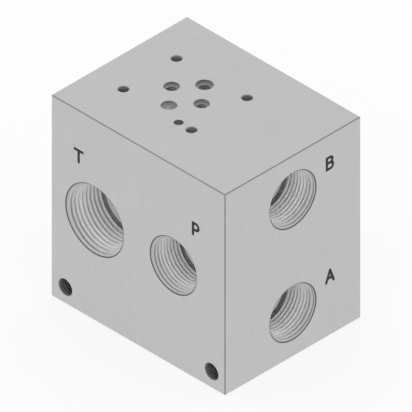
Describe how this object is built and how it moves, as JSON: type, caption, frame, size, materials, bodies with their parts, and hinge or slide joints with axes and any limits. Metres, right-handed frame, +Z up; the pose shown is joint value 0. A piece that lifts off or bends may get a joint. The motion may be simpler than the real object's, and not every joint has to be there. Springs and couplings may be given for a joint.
{
  "type": "hydraulic manifold block",
  "caption": "Rectangular metal block with tapped pipe ports in adjacent sides, a directional valve mounting pattern on top and drilled passages between them.",
  "frame": {"origin": "centre of the base", "axes": "+Z up to the face that the valve sits on, -Y out of the front face with pipe ports P and T, +X out of the right face with pipe ports A and B"},
  "size_m": [0.1016, 0.0794, 0.1016],
  "materials": {
    "machined_aluminium": "machined satin"
  },
  "bodies": {
    "root": {"manifold_block": "machined_aluminium"}
  },
  "joints": []
}
